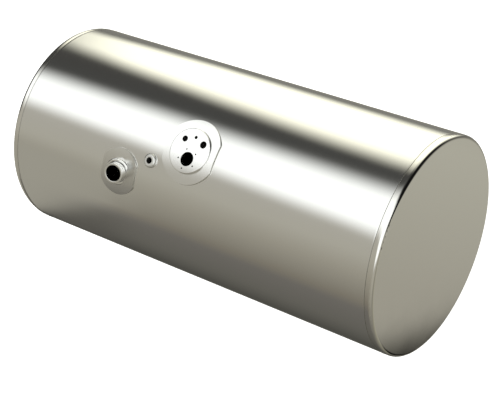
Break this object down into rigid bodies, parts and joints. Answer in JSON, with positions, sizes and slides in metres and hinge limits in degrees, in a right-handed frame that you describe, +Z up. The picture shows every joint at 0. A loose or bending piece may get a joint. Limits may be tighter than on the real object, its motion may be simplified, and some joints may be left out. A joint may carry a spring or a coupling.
{
  "type": "truck fuel tank",
  "caption": "Bare cylindrical aluminium fuel tank with flat ends, a filler neck, a vent spud and a flange for the level sender and the fuel lines.",
  "frame": {"origin": "on the tank's axis at mid-length", "axes": "+X along the axis, +Z up through the sender flange, -Y outboard, where the filler neck is"},
  "size_m": [1.1938, 0.5842, 0.6194],
  "materials": {
    "wall": "bright mill finish",
    "head": "bright mill finish",
    "plate": "mill finish",
    "flange": "faced on a lathe",
    "collar": "turned",
    "neck": "turned",
    "spud": "turned",
    "pipe": "drawn",
    "inner_sheet": "mill finish",
    "plug": "zinc plated"
  },
  "bodies": {
    "root": {"barrel_shell": "wall", "right_head": "head", "left_head": "head", "left_baffle": "inner_sheet", "left_baffle_rim": "inner_sheet", "right_baffle": "inner_sheet", "right_baffle_rim": "inner_sheet", "sender_saddle": "plate", "sender_flange": "flange", "supply_tube": "pipe", "return_tube": "pipe", "tube_brace": "inner_sheet", "filler_saddle": "plate", "filler_collar": "collar", "filler_neck": "neck", "vent_spud": "spud", "drain_spud": "spud", "drain_plug": "plug"}
  },
  "joints": []
}
